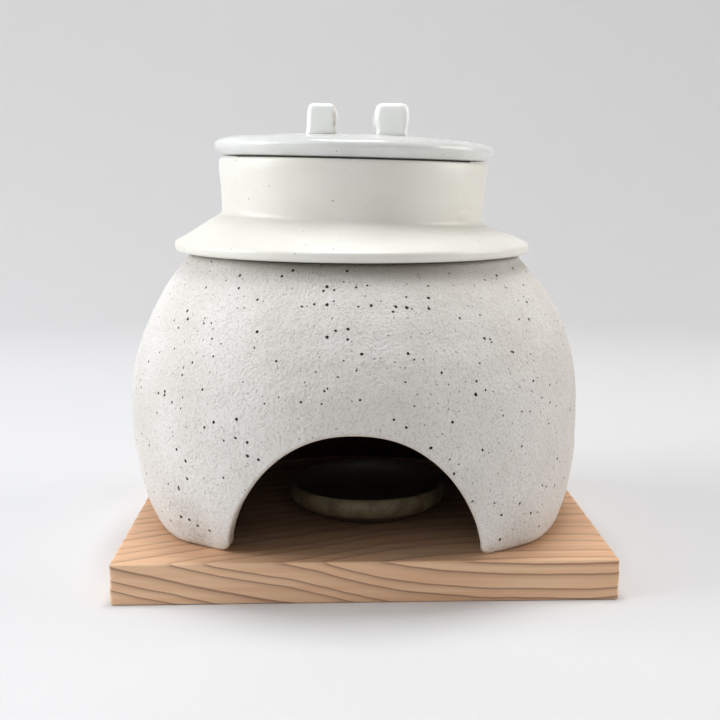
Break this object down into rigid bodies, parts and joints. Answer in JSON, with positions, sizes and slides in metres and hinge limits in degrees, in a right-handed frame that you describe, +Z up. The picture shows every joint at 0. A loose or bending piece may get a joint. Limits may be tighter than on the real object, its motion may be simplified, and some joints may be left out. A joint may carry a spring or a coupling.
{
  "type": "clay rice pot with table stove",
  "caption": "Brimmed clay rice pot hanging in a domed table stove with an arched fire mouth, with a lid lifted by two battens, a fuel saucer and a cedar board.",
  "frame": {"origin": "on the board's underside, on the stove's own upright axis", "axes": "+Z up; the fire mouth faces -Y and the board's front edge runs along X"},
  "size_m": [0.185, 0.1827, 0.1795],
  "materials": {
    "cedar": "matte",
    "stove_clay": "matte",
    "saucer_glaze": "satin",
    "pot_glaze": "satin",
    "lid_glaze": "gloss"
  },
  "bodies": {
    "board": {"base_board": "cedar"},
    "stove": {"stove_body": "stove_clay"},
    "saucer": {"fuel_saucer": "saucer_glaze"},
    "pot": {"rice_pot": "pot_glaze"},
    "lid": {"lid_disc": "lid_glaze", "lid_batten_left": "lid_glaze", "lid_batten_right": "lid_glaze"}
  },
  "joints": [
    {"name": "stove_lift", "type": "slide", "parent": "board", "child": "stove", "axis": [0, 0, 1], "range_m": [0, 0.05]},
    {"name": "saucer_draw", "type": "slide", "parent": "board", "child": "saucer", "axis": [0, -1, 0], "range_m": [0, 0.13]},
    {"name": "pot_lift", "type": "slide", "parent": "stove", "child": "pot", "axis": [0, 0, 1], "range_m": [0, 0.06]},
    {"name": "lid_lift", "type": "slide", "parent": "pot", "child": "lid", "axis": [0, 0, 1], "range_m": [0, 0.05]}
  ]
}
